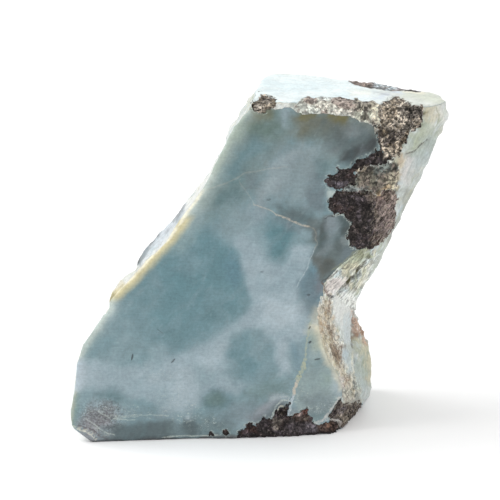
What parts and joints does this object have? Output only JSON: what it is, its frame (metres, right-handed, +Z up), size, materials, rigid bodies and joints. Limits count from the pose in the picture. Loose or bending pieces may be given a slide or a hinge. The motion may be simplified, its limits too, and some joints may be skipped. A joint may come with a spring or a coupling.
{
  "type": "rough larimar slice",
  "caption": "Leaning slab of blue-grey larimar with sawn faces, rough broken sides and patches of dark host rock, standing on a flat sawn base.",
  "frame": {"origin": "centre of the bounding box, at the level of the sawn base", "axes": "+Z up from the sawn base, -Y out of the front sawn face, +X to the side the slab leans towards"},
  "size_m": [0.0636, 0.0206, 0.0589],
  "materials": {
    "larimar": "satin sawn faces, rough broken sides with brown host rock"
  },
  "bodies": {
    "root": {"larimar_slice": "larimar"}
  },
  "joints": []
}
